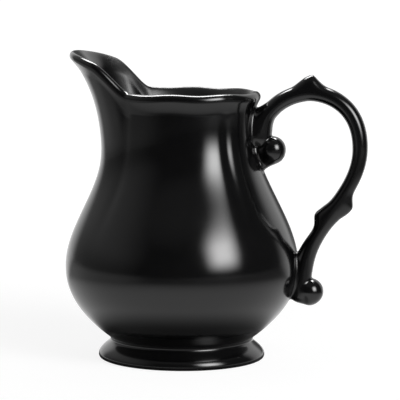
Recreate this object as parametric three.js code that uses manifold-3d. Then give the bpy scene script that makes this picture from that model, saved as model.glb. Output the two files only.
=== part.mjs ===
// A footed ceramic creamer: a pear-shaped, four-lobed body with a broad pouring lip,
// a flared foot ring and a double-scroll handle that ends in two curled knobs.
// Millimetres, +Z up, the spout towards -X and the handle towards +X.
import * as THREE from 'three';
import { mergeVertices } from 'three/addons/utils/BufferGeometryUtils.js';
import Module from 'manifold-3d';

// Driving dimensions of the foot and the body
const footHeight = 7.9;
const footNeckStep = 1;
const footFlare = 4.7;
const footTreadInset = 2;
const footTreadRise = 1.4;
const footNeckDrop = 1.3;
const footNeckSpread = 0.35;
const footEdgeLead = 2.8;
const footSeatWidth = 3.1;
const footBoreDraft = 1.5;
const seatRadius = 27.6;
const bellyRadius = 46.6;
const bellyHeight = 37;
const bellyFall = 2.15;
const wall = 3.1;
const floorThickness = 4;

// The waist, measured on the handle, side and spout lobes
const waistHandle = 28.4;
const waistSide = 26.9;
const waistSpout = 32.2;
const waistHeight = 92.5;
const waistHeightSpout = 83.8;
const waistSoftness = 0.12;
const neckLead = 12;
const neckPower = 3;

// The rim, turned out at its top, and its rolled lip
const rimHeight = 107.2;
const rimReach = 31.3;
const rimSide = 28.8;
const rimDip = 0.45;
const rimWaves = 8;
const rimFlare = 2;
const rimFlareSpout = 0.9;
const rimFlareHeight = 5.6;
const rimFlarePower = 1.35;
const lipWidth = 3.8;
const lipHeight = 4.4;
const lipTurn = THREE.MathUtils.degToRad(100);
const lipBlend = 5.5;
const lipLeadTop = 1;
const lipLeadInside = 2.6;

// The pouring lip
const spoutReach = 45.9;
const spoutHeight = 122.6;
const spoutHalfAngle = THREE.MathUtils.degToRad(54);
const spoutCorner = THREE.MathUtils.degToRad(20);
const spoutPlanPower = 2.4;
const spoutRisePower = 3.25;
const spoutLipWidth = 2.7;
const spoutLipHeight = 3.2;

// The shape of the lobes in plan, and the narrow flutes between them
const lobeSquareness = 2.12;
const fluteDepth = 0.85;
const fluteFill = 0.7;
const fluteStop = 8;
const fluteFade = 4;
const fluteAngleHandle = THREE.MathUtils.degToRad(43.3);
const fluteAngleSpout = THREE.MathUtils.degToRad(49.5);
const fluteWidth = THREE.MathUtils.degToRad(4.5);

// The handle's route: places out from the neck and down from the rim, then off the belly
const rootReach = 1.9;
const rootDrop = 17.4;
const rootTilt = THREE.MathUtils.degToRad(15.5);
const rootRise = 12;
const crownReach = 21.2;
const crownDrop = 0.2;
const crownTilt = THREE.MathUtils.degToRad(7.5);
const crownLead = 8.5;
const crownTrail = 4.2;
const backReach = 42.5;
const backDrop = 22.1;
const backLead = 20.3;
const backTrail = 12.1;
const knuckleReach = 31.1;
const knuckleDrop = 48.1;
const knuckleLean = THREE.MathUtils.degToRad(27);
const knuckleLead = 6.2;
const knuckleTrail = 12.4;
const tailReach = 1.9;
const tailDrop = 10.7;
const tailLead = 18.8;
const rootCapLength = 5;
const tailCapLength = 3;

// The handle's stock, the swelling of its two roots, and the spurs of its knuckle
const stockAtCrown = 6.6;
const stockAtKnuckle = 5.5;
const stockWidth = 6.8;
const upperRootOut = 6;
const upperRootOutLength = 13.5;
const upperRootIn = 2.1;
const upperRootInLength = 10.5;
const lowerRootLength = 30.4;
const lowerRootFull = 8.1;
const lowerRootOut = 0.7;
const lowerRootIn = 1.85;
const upperRootSide = 2.2;
const lowerRootSide = 1.4;
const rootSideLength = 24;
const endFlat = 0.02;
const spurOut = 3.2;
const spurOutAt = -6.4;
const spurOutBefore = 3.4;
const spurOutAfter = 7.3;
const spurIn = 2.7;
const spurInAt = 2.8;
const spurInBefore = 4.7;
const spurInAfter = 3.7;

// The knobs, the curls that tie them to the body, and the thumb rest
const knobRadius = 5.3;
const knobOffNeck = 7.7;
const knobBelowRim = 22.9;
const knobOffBelly = 5.1;
const knobBelowBelly = 9;
const curlRadius = 2.5;
const upperCurl = [[1.3, -2.2], [-4.3, -5.9]];
const lowerCurl = [[-0.4, -2.3], [-4.5, -1.2]];
const thumbReach = 23;
const thumbHeight = 3.7;
const thumbFront = 6.2;
const thumbFrontPower = 1.15;
const thumbBack = 5.4;
const thumbBackPower = 2;
const thumbHalfWidth = 1.9;
const thumbCrowding = 1.5;

// Joints: a film of slip with a hair of room on each side of it
const clearance = 0.3;
const slipThickness = 0.5;
const seatDepth = clearance + slipThickness + clearance;

// Facets
const lobeSteps = 80;
const cornerCrowding = 0.09;
const endCrowding = 0.06;
const lowerRings = 11;
const upperRings = 7;
const levelBelowWaist = 4;
const lipSteps = 6;
const fallSteps = 3;
const slopeStep = 0.01;
const shoulderSteps = 6;
const stockSides = 14;
const routeSteps = 57;
const stationSteps = 400;
const knobSides = 22;
const knobRows = 14;
const thumbSteps = 6;

const wasm = await Module();
wasm.setup();

const fullTurn = 2 * Math.PI;
const smooth = (t) => THREE.MathUtils.smoothstep(t, 0, 1);
const lerp = THREE.MathUtils.lerp;

// Geometry helpers

// Joins equal rings of points into one closed surface, with a fan over each end.
function loft(rings) {
  const sides = rings[0].length;
  const points = [];
  const triangles = [];
  const middle = (ring) => ring.reduce((sum, p) => sum.add(p), new THREE.Vector3()).divideScalar(sides);
  for (const ring of rings) {
    for (const p of ring) points.push(p.x, p.y, p.z);
  }
  for (let row = 0; row + 1 < rings.length; row++) {
    for (let i = 0; i < sides; i++) {
      const next = (i + 1) % sides;
      const a = row * sides + i;
      const b = row * sides + next;
      triangles.push(a, b, b + sides, a, b + sides, a + sides);
    }
  }
  const first = middle(rings[0]);
  const last = middle(rings[rings.length - 1]);
  const firstIndex = rings.length * sides;
  const lastRow = (rings.length - 1) * sides;
  points.push(first.x, first.y, first.z, last.x, last.y, last.z);
  for (let i = 0; i < sides; i++) {
    const next = (i + 1) % sides;
    triangles.push(firstIndex, next, i, firstIndex + 1, lastRow + i, lastRow + next);
  }
  const geometry = new THREE.BufferGeometry();
  geometry.setAttribute('position', new THREE.Float32BufferAttribute(points, 3));
  geometry.setIndex(triangles);
  return geometry;
}

function solid(geometry) {
  const bare = geometry.clone();
  bare.deleteAttribute('normal');
  bare.deleteAttribute('uv');
  const merged = mergeVertices(bare, 1e-4);
  return new wasm.Manifold(new wasm.Mesh({
    numProp: 3,
    vertProperties: new Float32Array(merged.attributes.position.array),
    triVerts: new Uint32Array(merged.index.array),
  }));
}

function geometryOf(body) {
  const mesh = body.getMesh();
  const geometry = new THREE.BufferGeometry();
  geometry.setAttribute('position', new THREE.BufferAttribute(new Float32Array(mesh.vertProperties), 3));
  geometry.setIndex(new THREE.BufferAttribute(new Uint32Array(mesh.triVerts), 1));
  return geometry;
}

// The body's surface: the radius at an angle and a height

const offSpout = (angle) => Math.abs(THREE.MathUtils.euclideanModulo(angle, fullTurn) - Math.PI);

// A rounded square in plan, with its own reach along X and along Y.
function lobedRadius(angle, reachX, reachY) {
  const along = Math.abs(Math.cos(angle) / reachX) ** lobeSquareness;
  const across = Math.abs(Math.sin(angle) / reachY) ** lobeSquareness;
  return (along + across) ** (-1 / lobeSquareness);
}

// One at the four flutes between the lobes, nought on the lobes.
function flute(angle) {
  const fromLobe = Math.asin(Math.min(1, Math.abs(Math.sin(angle))));
  const middleAngle = Math.cos(angle) < 0 ? fluteAngleSpout : fluteAngleHandle;
  return Math.exp(-(((fromLobe - middleAngle) / fluteWidth) ** 2));
}

// One on the spout's centre line, nought from its corners onwards.
function spoutShare(angle, power) {
  const off = offSpout(angle);
  if (off >= spoutHalfAngle) return 0;
  return (1 - (off / spoutHalfAngle) ** power) * smooth((spoutHalfAngle - off) / spoutCorner);
}

// One towards the spout, nought towards the handle, eased through the side lobes.
const spoutSide = (angle) => smooth((1 - Math.cos(angle)) / 2);

const waistReach = (angle) => (Math.cos(angle) < 0 ? waistSpout : waistHandle);
const waistRadius = (angle) => lobedRadius(angle, waistReach(angle), waistSide) - fluteDepth * flute(angle);
const waistLevel = (angle) => lerp(waistHeight, waistHeightSpout, spoutSide(angle));

const rimTop = (angle) => rimHeight - (rimDip * (1 - Math.cos(rimWaves * angle))) / 2
  + (spoutHeight - rimHeight) * spoutShare(angle, spoutRisePower);
const rimRadius = (angle) => lobedRadius(angle, rimReach, rimSide) - fluteDepth * flute(angle)
  + (spoutReach - rimReach) * spoutShare(angle, spoutPlanPower);
const lipHalfWidth = (angle) => lerp(lipWidth, spoutLipWidth, spoutShare(angle, 2)) / 2;
const lipHalfHeight = (angle) => lerp(lipHeight, spoutLipHeight, spoutShare(angle, 2)) / 2;
const wallTop = (angle) => rimTop(angle) - lipHalfHeight(angle);

// A cosine ramp from belly to waist, averaged so that it runs into the neck without a break.
function shoulderShare(climb) {
  const soft = Math.max(waistSoftness * smooth(2 * climb), slopeStep);
  const area = (t) => (t < 1 ? t / 2 - Math.sin(Math.PI * t) / fullTurn : t - 0.5);
  return (area(climb + soft) - area(climb - soft)) / (2 * soft);
}

function bodyRadius(angle, height) {
  if (height <= bellyHeight) {
    const fall = (bellyHeight - height) / (bellyHeight - footHeight);
    return bellyRadius - (bellyRadius - seatRadius) * fall ** bellyFall;
  }
  const waist = waistLevel(angle);
  const top = wallTop(angle);
  const neck = waistRadius(angle);
  const shoulder = lerp(bellyRadius, neck, shoulderShare((height - bellyHeight) / (waist - bellyHeight)));
  const rise = Math.max(0, (height - waist + neckLead) / (top - waist + neckLead));
  const turnedOut = Math.max(0, 1 - (top - height) / rimFlareHeight);
  const turn = lerp(rimFlare, rimFlareSpout, spoutShare(angle, 2));
  const flare = (rimRadius(angle) - turn - neck) * rise ** neckPower + turn * turnedOut ** rimFlarePower;
  const filled = fluteFill * flute(angle) * smooth((height - top + fluteStop) / fluteFade);
  return shoulder + flare + filled;
}

// How much longer a step square to the wall becomes when it is taken along the radius.
function slant(angle, height) {
  const radius = bodyRadius(angle, height);
  const over = 2 * slopeStep;
  const rise = (bodyRadius(angle, height + slopeStep) - bodyRadius(angle, height - slopeStep)) / over;
  const turn = (bodyRadius(angle + slopeStep, height) - bodyRadius(angle - slopeStep, height)) / over;
  return Math.hypot(1, rise, turn / radius);
}

const onBody = (angle, height, offset) => {
  const radius = bodyRadius(angle, height) + offset * slant(angle, height);
  return new THREE.Vector3(radius * Math.cos(angle), radius * Math.sin(angle), height);
};

// The angles stand closer together where the spout turns out of the rim.
const angles = Array.from({ length: lobeSteps }, (_, i) => {
  const even = (i / lobeSteps) * fullTurn;
  return even + cornerCrowding * Math.sin(4 * even) + endCrowding * Math.sin(2 * even);
});

// The lip's section is an oval that runs on smoothly from the wall below it.
const lipTuck = (angle) => {
  const level = wallTop(angle) - lipHalfHeight(angle) / 2;
  const lean = (bodyRadius(angle, level) - bodyRadius(angle, level - slopeStep)) / slopeStep;
  return Math.atan((lean * lipHalfHeight(angle)) / lipHalfWidth(angle));
};
const lipStart = (angle) => wallTop(angle) - lipHalfHeight(angle) * Math.sin(lipTuck(angle));
const lipFoot = (angle) => onBody(angle, lipStart(angle), 0);
const lipSections = angles.map((angle, i) => {
  const before = lipFoot(angles[(i + lobeSteps - 1) % lobeSteps]);
  const along = lipFoot(angles[(i + 1) % lobeSteps]).sub(before).normalize();
  const out = new THREE.Vector3(along.y, -along.x, 0).normalize();
  const up = out.clone().cross(along);
  const tuck = lipTuck(angle);
  const width = lipHalfWidth(angle);
  const height = lipHalfHeight(angle);
  const centre = lipFoot(angle).addScaledVector(out, -width * Math.cos(tuck))
    .addScaledVector(up, height * Math.sin(tuck));
  return { angle, centre, out, up, tuck, width, height };
});

const lipPoint = ({ centre, out, up, width, height }, turn, offset) => centre.clone()
  .addScaledVector(out, (width + offset) * Math.cos(turn))
  .addScaledVector(up, (height + offset) * Math.sin(turn));

function lipRings(toTurn, offset) {
  const ring = (share) => lipSections.map((lip) => lipPoint(lip, lerp(-lip.tuck, toTurn, share), offset));
  return Array.from({ length: lipSteps + 1 }, (_, i) => ring(i / lipSteps));
}

// From the top of the lip one curve falls to the inside of the wall.
const insideTop = (angle) => wallTop(angle) - lipBlend;
function fallRings() {
  const curves = lipSections.map((lip) => {
    const top = lipPoint(lip, lipTurn, 0);
    const over = lip.out.clone().multiplyScalar(-lip.width * Math.sin(lipTurn))
      .addScaledVector(lip.up, lip.height * Math.cos(lipTurn)).normalize();
    const level = insideTop(lip.angle);
    const join = onBody(lip.angle, level, -wall);
    const rise = join.clone().sub(onBody(lip.angle, level - slopeStep, -wall)).normalize();
    return new THREE.CubicBezierCurve3(top, top.clone().addScaledVector(over, lipLeadTop),
      join.clone().addScaledVector(rise, lipLeadInside), join);
  });
  const ring = (share) => curves.map((curve) => curve.getPoint(share));
  return Array.from({ length: fallSteps }, (_, i) => ring((i + 1) / fallSteps));
}

// Rings of the wall, level at the belly and following the rim higher up.
const levelTop = waistHeightSpout - levelBelowWaist;
function wallRings(bottom, top, offset) {
  const ring = (level) => angles.map((angle) => onBody(angle, level(angle), offset));
  const lower = Array.from({ length: lowerRings },
    (_, i) => ring(() => lerp(bottom, levelTop, i / lowerRings)));
  const upper = Array.from({ length: upperRings + 1 },
    (_, i) => ring((angle) => lerp(levelTop, top(angle), i / upperRings)));
  return [...lower, ...upper];
}

// The whole vessel, with its lip and its hollow.
function vesselWall() {
  const outside = wallRings(footHeight, lipStart, 0);
  const inside = wallRings(footHeight + floorThickness, insideTop, -wall).reverse();
  outside.pop();
  inside.shift();
  return solid(loft([...outside, ...lipRings(lipTurn, 0), ...fallRings(), ...inside]));
}

// The vessel filled in and grown by a distance, to cut what seats against it.
function vesselEnvelope(offset) {
  const outside = wallRings(footHeight, lipStart, offset);
  outside.pop();
  return solid(loft([...outside, ...lipRings(Math.PI / 2, offset)]));
}

// The spout is luted on along one slanted plane, from the two rim corners down to the waist.
function spoutSideOf(offset) {
  const corner = spoutHalfAngle;
  const top = new THREE.Vector2(-rimRadius(Math.PI + corner) * Math.cos(corner), rimHeight);
  const foot = new THREE.Vector2(-waistSpout, waistHeightSpout);
  const slope = Math.atan2(top.y - foot.y, top.x - foot.x);
  const size = 4 * bellyRadius;
  const box = new THREE.BoxGeometry(size, size, size);
  box.translate(0, 0, size / 2 + offset);
  box.rotateY(-slope);
  box.translate(foot.x, 0, foot.y);
  return solid(box);
}

// The handle: one route in the plane of symmetry, from the neck over the top to the belly
const inPlane = (x, z) => new THREE.Vector3(x, 0, z);
const fromNeck = (out, down) => inPlane(waistHandle + out, rimHeight - down);
const fromBelly = (out, up) => inPlane(bellyRadius + out, bellyHeight + up);

function handleRoute() {
  const leaning = (tilt) => inPlane(Math.sin(tilt), Math.cos(tilt));
  const root = { at: fromNeck(rootReach, rootDrop), along: leaning(rootTilt) };
  const crown = { at: fromNeck(crownReach, crownDrop), along: leaning(Math.PI / 2 - crownTilt) };
  const back = { at: fromNeck(backReach, backDrop), along: leaning(Math.PI) };
  const knuckle = { at: fromNeck(knuckleReach, knuckleDrop), along: leaning(Math.PI + knuckleLean) };
  const tail = { at: fromBelly(tailReach, -tailDrop), along: leaning(Math.PI) };
  const past = ({ at, along }, length) => at.clone().addScaledVector(along, length);
  const stretch = (a, trail, b, lead) => new THREE.CubicBezierCurve3(
    a.at, past(a, trail), past(b, -lead), b.at,
  );
  const path = new THREE.CurvePath();
  path.add(new THREE.LineCurve3(past(root, -rootCapLength), root.at));
  path.add(stretch(root, rootRise, crown, crownLead));
  path.add(stretch(crown, crownTrail, back, backLead));
  path.add(stretch(back, backTrail, knuckle, knuckleLead));
  path.add(stretch(knuckle, knuckleTrail, tail, tailLead));
  path.add(new THREE.LineCurve3(tail.at, past(tail, tailCapLength)));
  return path;
}

const route = handleRoute();
const routeLength = route.getLength();

// The knuckle is where the fourth stretch ends; the thumb rest stands where the route gets far enough out.
const knuckle = route.getCurveLengths()[3] / routeLength;
const stations = Array.from({ length: stationSteps + 1 }, (_, i) => i / stationSteps);
const thumbAt = stations.find((t) => route.getPointAt(t).x > waistHandle + thumbReach);
const bump = (away, before, after) => Math.exp(-((away / (away < 0 ? before : after)) ** 2));
const endRound = (station) => {
  const fromRoot = (station * routeLength) / rootCapLength;
  const fromTail = ((1 - station) * routeLength) / tailCapLength;
  const inset = Math.min(1, fromRoot, fromTail);
  return Math.sqrt(endFlat + (1 - endFlat) * (1 - (1 - inset) ** 2));
};

// The stock thickens into both roots and throws a spur to each side of the knuckle.
function stockHalf(station) {
  const fromStart = Math.max(0, station * routeLength - rootCapLength);
  const fromEnd = Math.max(0, (1 - station) * routeLength - tailCapLength);
  const past = (station - knuckle) * routeLength;
  const taper = THREE.MathUtils.clamp((station - thumbAt) / (knuckle - thumbAt), 0, 1);
  const half = lerp(stockAtCrown, stockAtKnuckle, taper) / 2;
  const upperOut = upperRootOut * smooth(1 - fromStart / upperRootOutLength);
  const upperIn = upperRootIn * smooth(1 - fromStart / upperRootInLength);
  const lower = smooth((lowerRootLength - fromEnd) / (lowerRootLength - lowerRootFull));
  const upperSide = upperRootSide * smooth(1 - fromStart / rootSideLength);
  const lowerSide = lowerRootSide * smooth(1 - fromEnd / rootSideLength);
  const outSpur = spurOut * bump(past - spurOutAt, spurOutBefore, spurOutAfter);
  const inSpur = spurIn * bump(past - spurInAt, spurInBefore, spurInAfter);
  const round = endRound(station);
  return {
    out: (half + upperOut + lowerRootOut * lower + outSpur) * round,
    inward: (half + upperIn + lowerRootIn * lower + inSpur) * round,
    side: (stockWidth / 2 + upperSide + lowerSide) * round,
  };
}

function stockRing(station, offset) {
  const centre = route.getPointAt(station);
  const along = route.getTangentAt(station);
  const out = new THREE.Vector3(-along.z, 0, along.x);
  const half = stockHalf(station);
  return Array.from({ length: stockSides }, (_, i) => {
    const turn = (i / stockSides) * fullTurn;
    const reach = (Math.cos(turn) > 0 ? half.out : half.inward) + offset;
    return centre.clone().addScaledVector(out, reach * Math.cos(turn))
      .add(new THREE.Vector3(0, -(half.side + offset) * Math.sin(turn), 0));
  });
}

function stock(from, to, offset) {
  const steps = Math.ceil(routeSteps * (to - from));
  const station = (i) => lerp(from, to, i / steps);
  return solid(loft(Array.from({ length: steps + 1 }, (_, i) => stockRing(station(i), offset))));
}

// Each knob is a ball with a short curl that runs to the body.
const upperKnobCentre = fromNeck(knobOffNeck, knobBelowRim);
const lowerKnobCentre = fromBelly(knobOffBelly, -knobBelowBelly);

function ballAt(centre, radius) {
  const ball = new THREE.SphereGeometry(radius, knobSides, knobRows);
  ball.translate(centre.x, centre.y, centre.z);
  return solid(ball);
}

function knob(centre, curl) {
  const [start, end] = curl.map(([out, up]) => ballAt(centre.clone().add(inPlane(out, up)), curlRadius));
  return ballAt(centre, knobRadius).add(wasm.Manifold.hull([start, end]));
}

// The thumb rest: a pointed spur with hollow flanks, standing on the crown of the handle.
function thumbRest() {
  const rings = [];
  for (let i = -thumbSteps; i <= thumbSteps; i++) {
    const share = Math.abs(i / thumbSteps) ** thumbCrowding;
    const run = Math.sign(i) * share * (i < 0 ? thumbFront : thumbBack);
    const station = thumbAt + run / routeLength;
    const along = route.getTangentAt(station);
    const out = new THREE.Vector3(-along.z, 0, along.x);
    const power = i < 0 ? thumbFrontPower : thumbBackPower;
    const rise = stockAtCrown / 2 - clearance + thumbHeight * (1 - share) ** power;
    const centre = route.getPointAt(station).addScaledVector(out, rise / 2);
    rings.push(Array.from({ length: stockSides }, (_, k) => {
      const turn = (k / stockSides) * fullTurn;
      const side = new THREE.Vector3(0, -thumbHalfWidth * Math.sin(turn), 0);
      return centre.clone().addScaledVector(out, (rise / 2) * Math.cos(turn)).add(side);
    }));
  }
  return solid(loft(rings));
}

// The foot ring: a flared turned ring with a flat tread and a hollow middle
const footTop = footHeight - slipThickness;
const footNeckRadius = seatRadius + footNeckStep;
const footRadius = footNeckRadius + footFlare;
const footBoreTop = seatRadius - footSeatWidth;

function footRing() {
  const shoulder = new THREE.CubicBezierCurve(
    new THREE.Vector2(footNeckRadius, footTop),
    new THREE.Vector2(footNeckRadius + footNeckSpread, footTop - footNeckDrop),
    new THREE.Vector2(footRadius, footTreadRise + footEdgeLead),
    new THREE.Vector2(footRadius, footTreadRise),
  );
  const outline = [
    new THREE.Vector2(footBoreTop, footTop),
    new THREE.Vector2(footBoreTop + footBoreDraft, 0),
    new THREE.Vector2(footRadius - footTreadInset, 0),
    ...shoulder.getPoints(shoulderSteps).reverse(),
  ];
  outline.push(outline[0].clone());
  return new THREE.LatheGeometry(outline, lobeSteps);
}

// The film of slip between the flat base of the body and the foot ring.
function footSlip() {
  const inner = footBoreTop + clearance;
  const outer = seatRadius - clearance;
  const corners = [[inner, footTop], [outer, footTop], [outer, footHeight], [inner, footHeight]];
  const outline = corners.map(([radius, height]) => new THREE.Vector2(radius, height));
  outline.push(outline[0].clone());
  return new THREE.LatheGeometry(outline, lobeSteps);
}

// A lathe turns about Y; the pitcher stands along Z.
const upright = (geometry) => geometry.rotateX(Math.PI / 2);

const glaze = new THREE.MeshStandardMaterial({ color: 0x111113, roughness: 0.28, metalness: 0 });
const slip = new THREE.MeshStandardMaterial({ color: 0x2a2826, roughness: 0.6, metalness: 0 });

const pitcher = new THREE.Group();
function add(name, geometry, material) {
  const mesh = new THREE.Mesh(geometry, material);
  mesh.name = name;
  pitcher.add(mesh);
}

const vessel = vesselWall();
const againstBody = vesselEnvelope(clearance);
const overSlip = vesselEnvelope(clearance + slipThickness);
const overSeat = vesselEnvelope(seatDepth);

add('body', geometryOf(vessel.subtract(spoutSideOf(0))), glaze);
add('spout', geometryOf(vessel.intersect(spoutSideOf(seatDepth))), glaze);
add('spout_slip', geometryOf(vessel.intersect(spoutSideOf(clearance))
  .subtract(spoutSideOf(clearance + slipThickness))), slip);
add('foot_ring', upright(footRing()), glaze);
add('foot_slip', upright(footSlip()), slip);

const halfJoint = seatDepth / 2 / routeLength;
const halfSlip = slipThickness / 2 / routeLength;
const upperStock = stock(0, knuckle - halfJoint, 0);
const lowerStock = stock(knuckle + halfJoint, 1, 0);
const fatStock = stock(0, 1, clearance);
const besideKnob = fatStock.add(againstBody);

add('upper_scroll', geometryOf(upperStock.subtract(overSeat)), glaze);
add('lower_scroll', geometryOf(lowerStock.subtract(overSeat)), glaze);
add('knuckle_slip', geometryOf(stock(knuckle - halfSlip, knuckle + halfSlip, 0)), slip);
add('upper_handle_slip', geometryOf(upperStock.intersect(overSlip).subtract(againstBody)), slip);
add('lower_handle_slip', geometryOf(lowerStock.intersect(overSlip).subtract(againstBody)), slip);
add('thumb_rest', geometryOf(thumbRest().subtract(fatStock)), glaze);
add('upper_knob', geometryOf(knob(upperKnobCentre, upperCurl).subtract(besideKnob)), glaze);
add('lower_knob', geometryOf(knob(lowerKnobCentre, lowerCurl).subtract(besideKnob)), glaze);

// The origin is on the table, at the middle of the pitcher's length.
pitcher.position.x = -new THREE.Box3().setFromObject(pitcher).getCenter(new THREE.Vector3()).x;

export default pitcher;
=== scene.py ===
# Looks of a black-glazed ceramic creamer: one glazed vessel with its foot and pouring lip,
# one glazed scroll handle that melts into the neck and the belly, a pale table and studio light.
import math
import bpy
import numpy as np
from mathutils import Matrix, Vector


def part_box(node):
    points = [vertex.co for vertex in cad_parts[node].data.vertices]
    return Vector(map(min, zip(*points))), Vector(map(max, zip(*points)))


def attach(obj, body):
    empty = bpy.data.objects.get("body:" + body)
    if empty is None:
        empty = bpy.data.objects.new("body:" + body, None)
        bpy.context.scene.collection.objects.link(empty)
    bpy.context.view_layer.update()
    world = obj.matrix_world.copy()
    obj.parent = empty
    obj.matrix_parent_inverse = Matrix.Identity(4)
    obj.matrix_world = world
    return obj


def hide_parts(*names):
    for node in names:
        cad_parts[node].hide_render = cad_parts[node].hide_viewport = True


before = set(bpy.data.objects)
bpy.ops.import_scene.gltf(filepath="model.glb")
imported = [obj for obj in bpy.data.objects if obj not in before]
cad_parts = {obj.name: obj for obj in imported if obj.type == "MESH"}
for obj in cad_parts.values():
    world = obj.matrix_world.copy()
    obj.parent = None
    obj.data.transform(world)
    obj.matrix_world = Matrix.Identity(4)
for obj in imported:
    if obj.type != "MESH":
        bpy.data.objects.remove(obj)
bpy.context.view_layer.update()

MM = 0.001

# Places taken from the frame, in millimetres
foot_low, foot_high = (np.array(corner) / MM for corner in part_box("foot_ring"))
AXIS_X = (foot_low[0] + foot_high[0]) / 2
FOOT_RADIUS = (foot_high[0] - foot_low[0]) / 2
FOOT_TOP = foot_high[2]
FOOT_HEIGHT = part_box("foot_slip")[1][2] / MM

# The foot, in millimetres as all that follows up to the stage
SEAT_RADIUS = 27.6
FOOT_BORE = 25.3
FOOT_TREAD_INSET = 2
FOOT_EDGE_RISE = 1.4
FOOT_EDGE_LEAD = 2.8
FOOT_EDGE_ROLL = 1.4
FOOT_EDGE_TURN = 0.5
FOOT_NECK_RADIUS = 28.6
FOOT_NECK_DROP = 1.3
FOOT_NECK_SPREAD = 0.35
FOOT_NECK_CARRY = 0.4
CREASE_TOP = 9.4
CREASE_LEAD = 0.7

# The hollow under the base: its flat, the fillet into the bore and the inner edge of the tread
RECESS_MIDDLE = 2
RECESS_MARGIN = 2.4
BORE_FILLET = 1.6
BORE_FILLET_LEAD = 1
BORE_FILLET_DROP = 2.5
BORE_DRAFT = 0.2
TREAD_EDGE_OUT = 0.7
TREAD_EDGE_RISE = 0.9
TREAD_EDGE_LEAD = (0.8, 0.3)
TREAD_EDGE_TRAIL = 1
TREAD_START = 1.7
BARE_BELOW = 0.35

# The body, its wall and its floor
BELLY_RADIUS = 46.6
BELLY_HEIGHT = 37
BELLY_FALL = 2.15
WALL = 3.1
FLOOR_THICKNESS = 4
FLOOR_FILLET = 7
FLOOR_FILLET_LEAD = (5, 5.2)
FLOOR_FILLET_TRAIL = 10
FLOOR_FILLET_REACH = 18

# The waist, measured on the handle, side and spout lobes
WAIST_HANDLE = 28.4
WAIST_SIDE = 26.9
WAIST_SPOUT = 32.2
WAIST_HEIGHT = 92.5
WAIST_HEIGHT_SPOUT = 83.8
WAIST_SOFTNESS = 0.12
NECK_LEAD = 12
NECK_POWER = 3

# The rim, turned out at its top, and its rolled lip
RIM_HEIGHT = 107.2
RIM_REACH = 31.3
RIM_SIDE = 28.8
RIM_DIP = 0.45
RIM_WAVES = 8
RIM_FLARE = 2
RIM_FLARE_SPOUT = 0.9
RIM_FLARE_HEIGHT = 5.6
RIM_FLARE_POWER = 1.35
LIP_HALF_WIDTH = 1.9
LIP_HALF_HEIGHT = 2.2
LIP_TURN = math.radians(100)
LIP_BLEND = 5.5
LIP_LEAD_TOP = 1.0
LIP_LEAD_INSIDE = 2.6

# The pouring lip
SPOUT_REACH = 45.9
SPOUT_HEIGHT = 122.6
SPOUT_HALF_ANGLE = math.radians(54)
SPOUT_CORNER = math.radians(20)
SPOUT_PLAN_POWER = 2.4
SPOUT_RISE_POWER = 3.25
SPOUT_LIP_HALF_WIDTH = 1.35
SPOUT_LIP_HALF_HEIGHT = 1.6
SPOUT_LIP_POWER = 2

# The shape of the lobes in plan, and the narrow flutes between them
LOBE_SQUARENESS = 2.12
FLUTE_DEPTH = 0.58
FLUTE_FILL = 0.75
FLUTE_STOP = 8
FLUTE_FADE = 4
FLUTE_ANGLE_HANDLE = math.radians(43.3)
FLUTE_ANGLE_SPOUT = math.radians(49.5)
FLUTE_WIDTH = math.radians(4.5)
FLUTE_INSIDE = 0.2

# The handle's route: places out from the neck and down from the rim, then off the belly
ROOT_REACH = 1.9
ROOT_DROP = 17.4
ROOT_TILT = math.radians(15.5)
ROOT_RISE = 12
CROWN_REACH = 21.2
CROWN_DROP = 0.2
CROWN_TILT = math.radians(7.5)
CROWN_LEAD = 8.5
CROWN_TRAIL = 4.2
BACK_REACH = 42.5
BACK_DROP = 22.1
BACK_LEAD = 20.3
BACK_TRAIL = 12.1
KNUCKLE_REACH = 31.1
KNUCKLE_DROP = 48.1
KNUCKLE_LEAN = math.radians(27)
KNUCKLE_LEAD = 6.2
KNUCKLE_TRAIL = 12.4
TAIL_REACH = 1.9
TAIL_DROP = 10.7
TAIL_LEAD = 18.8

# The handle's stock, its two roots and the spurs of its knuckle
STOCK_AT_CROWN = 6.6
STOCK_AT_KNUCKLE = 5.5
STOCK_WIDTH = 6.8
UPPER_ROOT_OUT = 6
UPPER_ROOT_OUT_LENGTH = 13.5
UPPER_ROOT_IN = 2.1
UPPER_ROOT_IN_LENGTH = 10.5
ROOT_CAP = 5
TAIL_CAP = 3
LOWER_ROOT_LENGTH = 30.4
LOWER_ROOT_FULL = 8.1
LOWER_ROOT_OUT = 0.7
LOWER_ROOT_IN = 1.85
UPPER_ROOT_SIDE = 2.2
LOWER_ROOT_SIDE = 1.4
ROOT_SIDE_LENGTH = 24
SPUR_OUT = 3.2
SPUR_OUT_AT = -6.4
SPUR_OUT_BEFORE = 3.4
SPUR_OUT_AFTER = 7.3
SPUR_IN = 2.7
SPUR_IN_AT = 2.8
SPUR_IN_BEFORE = 4.7
SPUR_IN_AFTER = 3.7

# The knobs, the curls that tie them to the body, and the thumb rest
KNOB_RADIUS = 5.3
KNOB_OFF_NECK = 7.7
KNOB_BELOW_RIM = 22.9
KNOB_OFF_BELLY = 5.1
KNOB_BELOW_BELLY = 9
CURL_RADIUS = 2.5
UPPER_CURL = ((1.3, -2.2), (-4.3, -5.9))
LOWER_CURL = ((-0.4, -2.3), (-4.5, -1.2))
UPPER_FILL = ((0, 0), (-6, -1))
FILL_RADIUS = 3.4
THUMB_REACH = 23
THUMB_HEIGHT = 3.7
THUMB_FRONT = 6.2
THUMB_FRONT_POWER = 1.15
THUMB_BACK = 5.4
THUMB_BACK_POWER = 2
THUMB_TIP = 0.5
THUMB_SOFTNESS = 0.15

# How far the glaze rounds off each joint of the handle
GLAZE_AT_BODY = 1.8
GLAZE_AT_KNOB = 0.9
GLAZE_AT_CURL = 2
GLAZE_AT_FILL = 2.5
GLAZE_SINK = 0.006
ROOT_BURIAL = 1.2

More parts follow.
